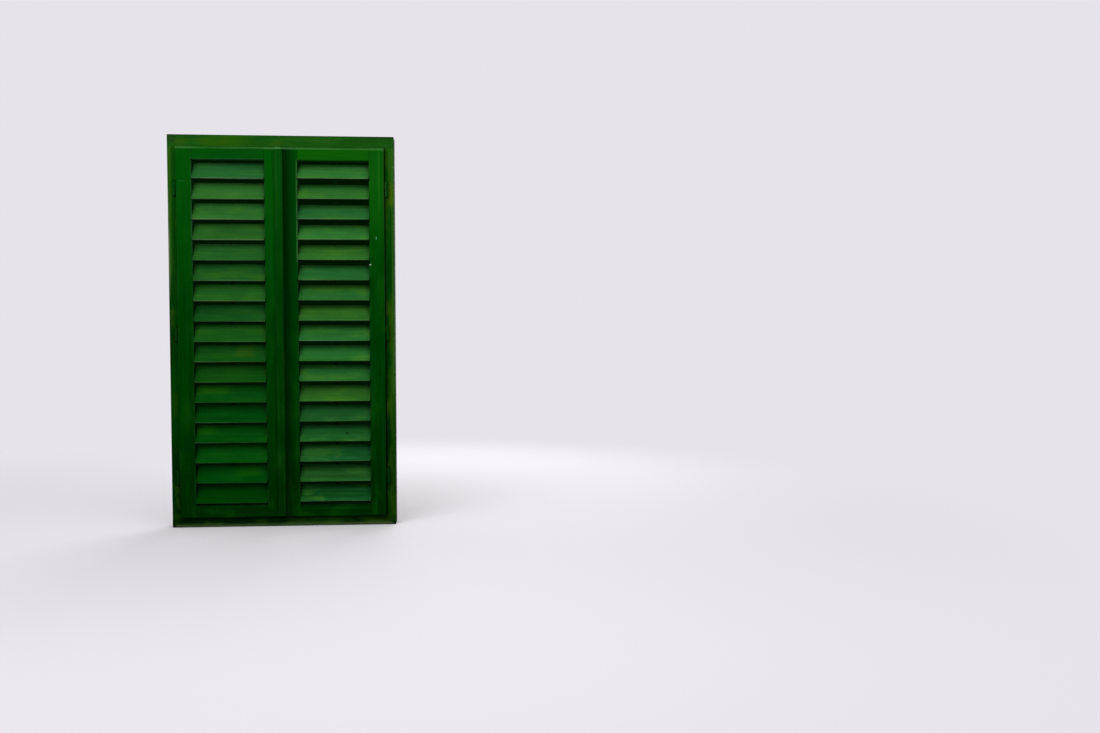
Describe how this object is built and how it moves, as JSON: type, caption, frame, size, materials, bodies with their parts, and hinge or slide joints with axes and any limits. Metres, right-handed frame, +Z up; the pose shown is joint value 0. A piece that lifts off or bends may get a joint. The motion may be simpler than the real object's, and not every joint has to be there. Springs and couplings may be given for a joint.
{
  "type": "window shutters",
  "caption": "Louvred timber window shutters hung in a rebated frame, with tilting slats, tilt rods, a cover strip over the meeting edges, barrel bolts and stay hooks.",
  "frame": {"origin": "middle of the frame's underside: midway across its width and through its depth", "axes": "+X to the right seen from outside, +Y inwards through the wall, +Z up"},
  "size_m": [0.85, 0.11, 1.5],
  "materials": {
    "frame_wood": "gloss paint, weathered",
    "leaf_wood": "gloss paint, weathered",
    "strip_wood": "gloss paint, weathered",
    "slat_wood": "gloss paint, brushed",
    "rod_wood": "gloss paint",
    "hinge_metal": "painted over",
    "bolt_metal": "painted over",
    "hook_metal": "dull dark wire"
  },
  "bodies": {
    "frame": {"frame_head": "frame_wood", "frame_sill": "frame_wood", "frame_left_jamb": "frame_wood", "frame_right_jamb": "frame_wood", "frame_hinge_barrels": "hinge_metal", "sill_hook_eyes": "hook_metal"},
    "left_leaf": {"left_hinge_stile": "leaf_wood", "left_meeting_stile": "leaf_wood", "left_top_rail": "leaf_wood", "left_bottom_rail": "leaf_wood", "left_hinge_barrels": "hinge_metal", "left_hook_eye": "hook_metal", "meeting_strip": "strip_wood", "bolt_guides": "bolt_metal"},
    "right_leaf": {"right_hinge_stile": "leaf_wood", "right_meeting_stile": "leaf_wood", "right_top_rail": "leaf_wood", "right_bottom_rail": "leaf_wood", "right_hinge_barrels": "hinge_metal", "right_hook_eye": "hook_metal"},
    "top_bolt": {"top_bolt": "bolt_metal"},
    "bottom_bolt": {"bottom_bolt": "bolt_metal"},
    "left_slat_01": {"left_slat_01": "slat_wood"},
    "left_slat_02": {"left_slat_02": "slat_wood"},
    "left_slat_03": {"left_slat_03": "slat_wood"},
    "left_slat_04": {"left_slat_04": "slat_wood"},
    "left_slat_05": {"left_slat_05": "slat_wood"},
    "left_slat_06": {"left_slat_06": "slat_wood"},
    "left_slat_07": {"left_slat_07": "slat_wood"},
    "left_slat_08": {"left_slat_08": "slat_wood"},
    "left_slat_09": {"left_slat_09": "slat_wood"},
    "left_slat_10": {"left_slat_10": "slat_wood"},
    "left_slat_11": {"left_slat_11": "slat_wood"},
    "left_slat_12": {"left_slat_12": "slat_wood"},
    "left_slat_13": {"left_slat_13": "slat_wood"},
    "left_slat_14": {"left_slat_14": "slat_wood"},
    "left_slat_15": {"left_slat_15": "slat_wood"},
    "left_slat_16": {"left_slat_16": "slat_wood"},
    "left_slat_17": {"left_slat_17": "slat_wood"},
    "left_tilt_rod": {"left_tilt_rod": "rod_wood"},
    "left_stay_hook": {"left_stay_hook": "hook_metal"},
    "right_slat_01": {"right_slat_01": "slat_wood"},
    "right_slat_02": {"right_slat_02": "slat_wood"},
    "right_slat_03": {"right_slat_03": "slat_wood"},
    "right_slat_04": {"right_slat_04": "slat_wood"},
    "right_slat_05": {"right_slat_05": "slat_wood"},
    "right_slat_06": {"right_slat_06": "slat_wood"},
    "right_slat_07": {"right_slat_07": "slat_wood"},
    "right_slat_08": {"right_slat_08": "slat_wood"},
    "right_slat_09": {"right_slat_09": "slat_wood"},
    "right_slat_10": {"right_slat_10": "slat_wood"},
    "right_slat_11": {"right_slat_11": "slat_wood"},
    "right_slat_12": {"right_slat_12": "slat_wood"},
    "right_slat_13": {"right_slat_13": "slat_wood"},
    "right_slat_14": {"right_slat_14": "slat_wood"},
    "right_slat_15": {"right_slat_15": "slat_wood"},
    "right_slat_16": {"right_slat_16": "slat_wood"},
    "right_slat_17": {"right_slat_17": "slat_wood"},
    "right_tilt_rod": {"right_tilt_rod": "rod_wood"},
    "right_stay_hook": {"right_stay_hook": "hook_metal"}
  },
  "joints": [
    {"name": "left_leaf_swing", "type": "hinge", "parent": "frame", "child": "left_leaf", "pos_m": [-0.399, -0.049, 0.196], "axis": [0, 0, -1], "range_deg": [0, 165]},
    {"name": "right_leaf_swing", "type": "hinge", "parent": "frame", "child": "right_leaf", "pos_m": [0.399, -0.049, 0.196], "axis": [0, 0, 1], "range_deg": [0, 165]},
    {"name": "left_slat_01_tilt", "type": "hinge", "parent": "left_leaf", "child": "left_slat_01", "pos_m": [-0.197, -0.038, 1.36361], "axis": [-1, 0, 0], "range_deg": [-13, 55]},
    {"name": "left_slat_02_tilt", "type": "hinge", "parent": "left_leaf", "child": "left_slat_02", "pos_m": [-0.197, -0.038, 1.28629], "axis": [-1, 0, 0], "range_deg": [-13, 55]},
    {"name": "left_slat_03_tilt", "type": "hinge", "parent": "left_leaf", "child": "left_slat_03", "pos_m": [-0.197, -0.038, 1.20896], "axis": [-1, 0, 0], "range_deg": [-13, 55]},
    {"name": "left_slat_04_tilt", "type": "hinge", "parent": "left_leaf", "child": "left_slat_04", "pos_m": [-0.197, -0.038, 1.13163], "axis": [-1, 0, 0], "range_deg": [-13, 55]},
    {"name": "left_slat_05_tilt", "type": "hinge", "parent": "left_leaf", "child": "left_slat_05", "pos_m": [-0.197, -0.038, 1.05431], "axis": [-1, 0, 0], "range_deg": [-13, 55]},
    {"name": "left_slat_06_tilt", "type": "hinge", "parent": "left_leaf", "child": "left_slat_06", "pos_m": [-0.197, -0.038, 0.97698], "axis": [-1, 0, 0], "range_deg": [-13, 55]},
    {"name": "left_slat_07_tilt", "type": "hinge", "parent": "left_leaf", "child": "left_slat_07", "pos_m": [-0.197, -0.038, 0.89965], "axis": [-1, 0, 0], "range_deg": [-13, 55]},
    {"name": "left_slat_08_tilt", "type": "hinge", "parent": "left_leaf", "child": "left_slat_08", "pos_m": [-0.197, -0.038, 0.82233], "axis": [-1, 0, 0], "range_deg": [-13, 55]},
    {"name": "left_slat_09_tilt", "type": "hinge", "parent": "left_leaf", "child": "left_slat_09", "pos_m": [-0.197, -0.038, 0.745], "axis": [-1, 0, 0], "range_deg": [-13, 55]},
    {"name": "left_slat_10_tilt", "type": "hinge", "parent": "left_leaf", "child": "left_slat_10", "pos_m": [-0.197, -0.038, 0.66767], "axis": [-1, 0, 0], "range_deg": [-13, 55]},
    {"name": "left_slat_11_tilt", "type": "hinge", "parent": "left_leaf", "child": "left_slat_11", "pos_m": [-0.197, -0.038, 0.59035], "axis": [-1, 0, 0], "range_deg": [-13, 55]},
    {"name": "left_slat_12_tilt", "type": "hinge", "parent": "left_leaf", "child": "left_slat_12", "pos_m": [-0.197, -0.038, 0.51302], "axis": [-1, 0, 0], "range_deg": [-13, 55]},
    {"name": "left_slat_13_tilt", "type": "hinge", "parent": "left_leaf", "child": "left_slat_13", "pos_m": [-0.197, -0.038, 0.43569], "axis": [-1, 0, 0], "range_deg": [-13, 55]},
    {"name": "left_slat_14_tilt", "type": "hinge", "parent": "left_leaf", "child": "left_slat_14", "pos_m": [-0.197, -0.038, 0.35837], "axis": [-1, 0, 0], "range_deg": [-13, 55]},
    {"name": "left_slat_15_tilt", "type": "hinge", "parent": "left_leaf", "child": "left_slat_15", "pos_m": [-0.197, -0.038, 0.28104], "axis": [-1, 0, 0], "range_deg": [-13, 55]},
    {"name": "left_slat_16_tilt", "type": "hinge", "parent": "left_leaf", "child": "left_slat_16", "pos_m": [-0.197, -0.038, 0.20371], "axis": [-1, 0, 0], "range_deg": [-13, 55]},
    {"name": "left_slat_17_tilt", "type": "hinge", "parent": "left_leaf", "child": "left_slat_17", "pos_m": [-0.197, -0.038, 0.12639], "axis": [-1, 0, 0], "range_deg": [-13, 55]},
    {"name": "left_tilt_rod_pivot", "type": "hinge", "parent": "left_slat_09", "child": "left_tilt_rod", "pos_m": [-0.197, -0.01222, 0.78182], "axis": [-1, 0, 0], "range_deg": [-55, 13]},
    {"name": "left_stay_hook_swing", "type": "hinge", "parent": "left_leaf", "child": "left_stay_hook", "pos_m": [-0.327, -0.0085, 0.067], "axis": [0, 0, 1], "range_deg": [0, 95]},
    {"name": "right_slat_01_tilt", "type": "hinge", "parent": "right_leaf", "child": "right_slat_01", "pos_m": [0.197, -0.038, 1.36361], "axis": [-1, 0, 0], "range_deg": [-19, 49]},
    {"name": "right_slat_02_tilt", "type": "hinge", "parent": "right_leaf", "child": "right_slat_02", "pos_m": [0.197, -0.038, 1.28629], "axis": [-1, 0, 0], "range_deg": [-19, 49]},
    {"name": "right_slat_03_tilt", "type": "hinge", "parent": "right_leaf", "child": "right_slat_03", "pos_m": [0.197, -0.038, 1.20896], "axis": [-1, 0, 0], "range_deg": [-19, 49]},
    {"name": "right_slat_04_tilt", "type": "hinge", "parent": "right_leaf", "child": "right_slat_04", "pos_m": [0.197, -0.038, 1.13163], "axis": [-1, 0, 0], "range_deg": [-19, 49]},
    {"name": "right_slat_05_tilt", "type": "hinge", "parent": "right_leaf", "child": "right_slat_05", "pos_m": [0.197, -0.038, 1.05431], "axis": [-1, 0, 0], "range_deg": [-19, 49]},
    {"name": "right_slat_06_tilt", "type": "hinge", "parent": "right_leaf", "child": "right_slat_06", "pos_m": [0.197, -0.038, 0.97698], "axis": [-1, 0, 0], "range_deg": [-19, 49]},
    {"name": "right_slat_07_tilt", "type": "hinge", "parent": "right_leaf", "child": "right_slat_07", "pos_m": [0.197, -0.038, 0.89965], "axis": [-1, 0, 0], "range_deg": [-19, 49]},
    {"name": "right_slat_08_tilt", "type": "hinge", "parent": "right_leaf", "child": "right_slat_08", "pos_m": [0.197, -0.038, 0.82233], "axis": [-1, 0, 0], "range_deg": [-19, 49]},
    {"name": "right_slat_09_tilt", "type": "hinge", "parent": "right_leaf", "child": "right_slat_09", "pos_m": [0.197, -0.038, 0.745], "axis": [-1, 0, 0], "range_deg": [-19, 49]},
    {"name": "right_slat_10_tilt", "type": "hinge", "parent": "right_leaf", "child": "right_slat_10", "pos_m": [0.197, -0.038, 0.66767], "axis": [-1, 0, 0], "range_deg": [-19, 49]},
    {"name": "right_slat_11_tilt", "type": "hinge", "parent": "right_leaf", "child": "right_slat_11", "pos_m": [0.197, -0.038, 0.59035], "axis": [-1, 0, 0], "range_deg": [-19, 49]},
    {"name": "right_slat_12_tilt", "type": "hinge", "parent": "right_leaf", "child": "right_slat_12", "pos_m": [0.197, -0.038, 0.51302], "axis": [-1, 0, 0], "range_deg": [-19, 49]},
    {"name": "right_slat_13_tilt", "type": "hinge", "parent": "right_leaf", "child": "right_slat_13", "pos_m": [0.197, -0.038, 0.43569], "axis": [-1, 0, 0], "range_deg": [-19, 49]},
    {"name": "right_slat_14_tilt", "type": "hinge", "parent": "right_leaf", "child": "right_slat_14", "pos_m": [0.197, -0.038, 0.35837], "axis": [-1, 0, 0], "range_deg": [-19, 49]},
    {"name": "right_slat_15_tilt", "type": "hinge", "parent": "right_leaf", "child": "right_slat_15", "pos_m": [0.197, -0.038, 0.28104], "axis": [-1, 0, 0], "range_deg": [-19, 49]},
    {"name": "right_slat_16_tilt", "type": "hinge", "parent": "right_leaf", "child": "right_slat_16", "pos_m": [0.197, -0.038, 0.20371], "axis": [-1, 0, 0], "range_deg": [-19, 49]},
    {"name": "right_slat_17_tilt", "type": "hinge", "parent": "right_leaf", "child": "right_slat_17", "pos_m": [0.197, -0.038, 0.12639], "axis": [-1, 0, 0], "range_deg": [-19, 49]},
    {"name": "right_tilt_rod_pivot", "type": "hinge", "parent": "right_slat_09", "child": "right_tilt_rod", "pos_m": [0.197, -0.00851, 0.77892], "axis": [-1, 0, 0], "range_deg": [-49, 19]},
    {"name": "right_stay_hook_swing", "type": "hinge", "parent": "right_leaf", "child": "right_stay_hook", "pos_m": [0.327, -0.0085, 0.067], "axis": [0, 0, -1], "range_deg": [0, 95]},
    {"name": "top_bolt_slide", "type": "slide", "parent": "left_leaf", "child": "top_bolt", "axis": [0, 0, 1], "range_m": [0, 0.016]},
    {"name": "bottom_bolt_slide", "type": "slide", "parent": "left_leaf", "child": "bottom_bolt", "axis": [0, 0, -1], "range_m": [0, 0.016]}
  ],
  "couplings": [
    {"joint": "right_leaf_swing", "follows": "left_leaf_swing", "ratio": 1},
    {"joint": "left_slat_01_tilt", "follows": "left_slat_09_tilt", "ratio": 1},
    {"joint": "left_slat_02_tilt", "follows": "left_slat_09_tilt", "ratio": 1},
    {"joint": "left_slat_03_tilt", "follows": "left_slat_09_tilt", "ratio": 1},
    {"joint": "left_slat_04_tilt", "follows": "left_slat_09_tilt", "ratio": 1},
    {"joint": "left_slat_05_tilt", "follows": "left_slat_09_tilt", "ratio": 1},
    {"joint": "left_slat_06_tilt", "follows": "left_slat_09_tilt", "ratio": 1},
    {"joint": "left_slat_07_tilt", "follows": "left_slat_09_tilt", "ratio": 1},
    {"joint": "left_slat_08_tilt", "follows": "left_slat_09_tilt", "ratio": 1},
    {"joint": "left_slat_10_tilt", "follows": "left_slat_09_tilt", "ratio": 1},
    {"joint": "left_slat_11_tilt", "follows": "left_slat_09_tilt", "ratio": 1},
    {"joint": "left_slat_12_tilt", "follows": "left_slat_09_tilt", "ratio": 1},
    {"joint": "left_slat_13_tilt", "follows": "left_slat_09_tilt", "ratio": 1},
    {"joint": "left_slat_14_tilt", "follows": "left_slat_09_tilt", "ratio": 1},
    {"joint": "left_slat_15_tilt", "follows": "left_slat_09_tilt", "ratio": 1},
    {"joint": "left_slat_16_tilt", "follows": "left_slat_09_tilt", "ratio": 1},
    {"joint": "left_slat_17_tilt", "follows": "left_slat_09_tilt", "ratio": 1},
    {"joint": "left_tilt_rod_pivot", "follows": "left_slat_09_tilt", "ratio": -1},
    {"joint": "right_slat_01_tilt", "follows": "right_slat_09_tilt", "ratio": 1},
    {"joint": "right_slat_02_tilt", "follows": "right_slat_09_tilt", "ratio": 1},
    {"joint": "right_slat_03_tilt", "follows": "right_slat_09_tilt", "ratio": 1},
    {"joint": "right_slat_04_tilt", "follows": "right_slat_09_tilt", "ratio": 1},
    {"joint": "right_slat_05_tilt", "follows": "right_slat_09_tilt", "ratio": 1},
    {"joint": "right_slat_06_tilt", "follows": "right_slat_09_tilt", "ratio": 1},
    {"joint": "right_slat_07_tilt", "follows": "right_slat_09_tilt", "ratio": 1},
    {"joint": "right_slat_08_tilt", "follows": "right_slat_09_tilt", "ratio": 1},
    {"joint": "right_slat_10_tilt", "follows": "right_slat_09_tilt", "ratio": 1},
    {"joint": "right_slat_11_tilt", "follows": "right_slat_09_tilt", "ratio": 1},
    {"joint": "right_slat_12_tilt", "follows": "right_slat_09_tilt", "ratio": 1},
    {"joint": "right_slat_13_tilt", "follows": "right_slat_09_tilt", "ratio": 1},
    {"joint": "right_slat_14_tilt", "follows": "right_slat_09_tilt", "ratio": 1},
    {"joint": "right_slat_15_tilt", "follows": "right_slat_09_tilt", "ratio": 1},
    {"joint": "right_slat_16_tilt", "follows": "right_slat_09_tilt", "ratio": 1},
    {"joint": "right_slat_17_tilt", "follows": "right_slat_09_tilt", "ratio": 1},
    {"joint": "right_tilt_rod_pivot", "follows": "right_slat_09_tilt", "ratio": -1}
  ]
}
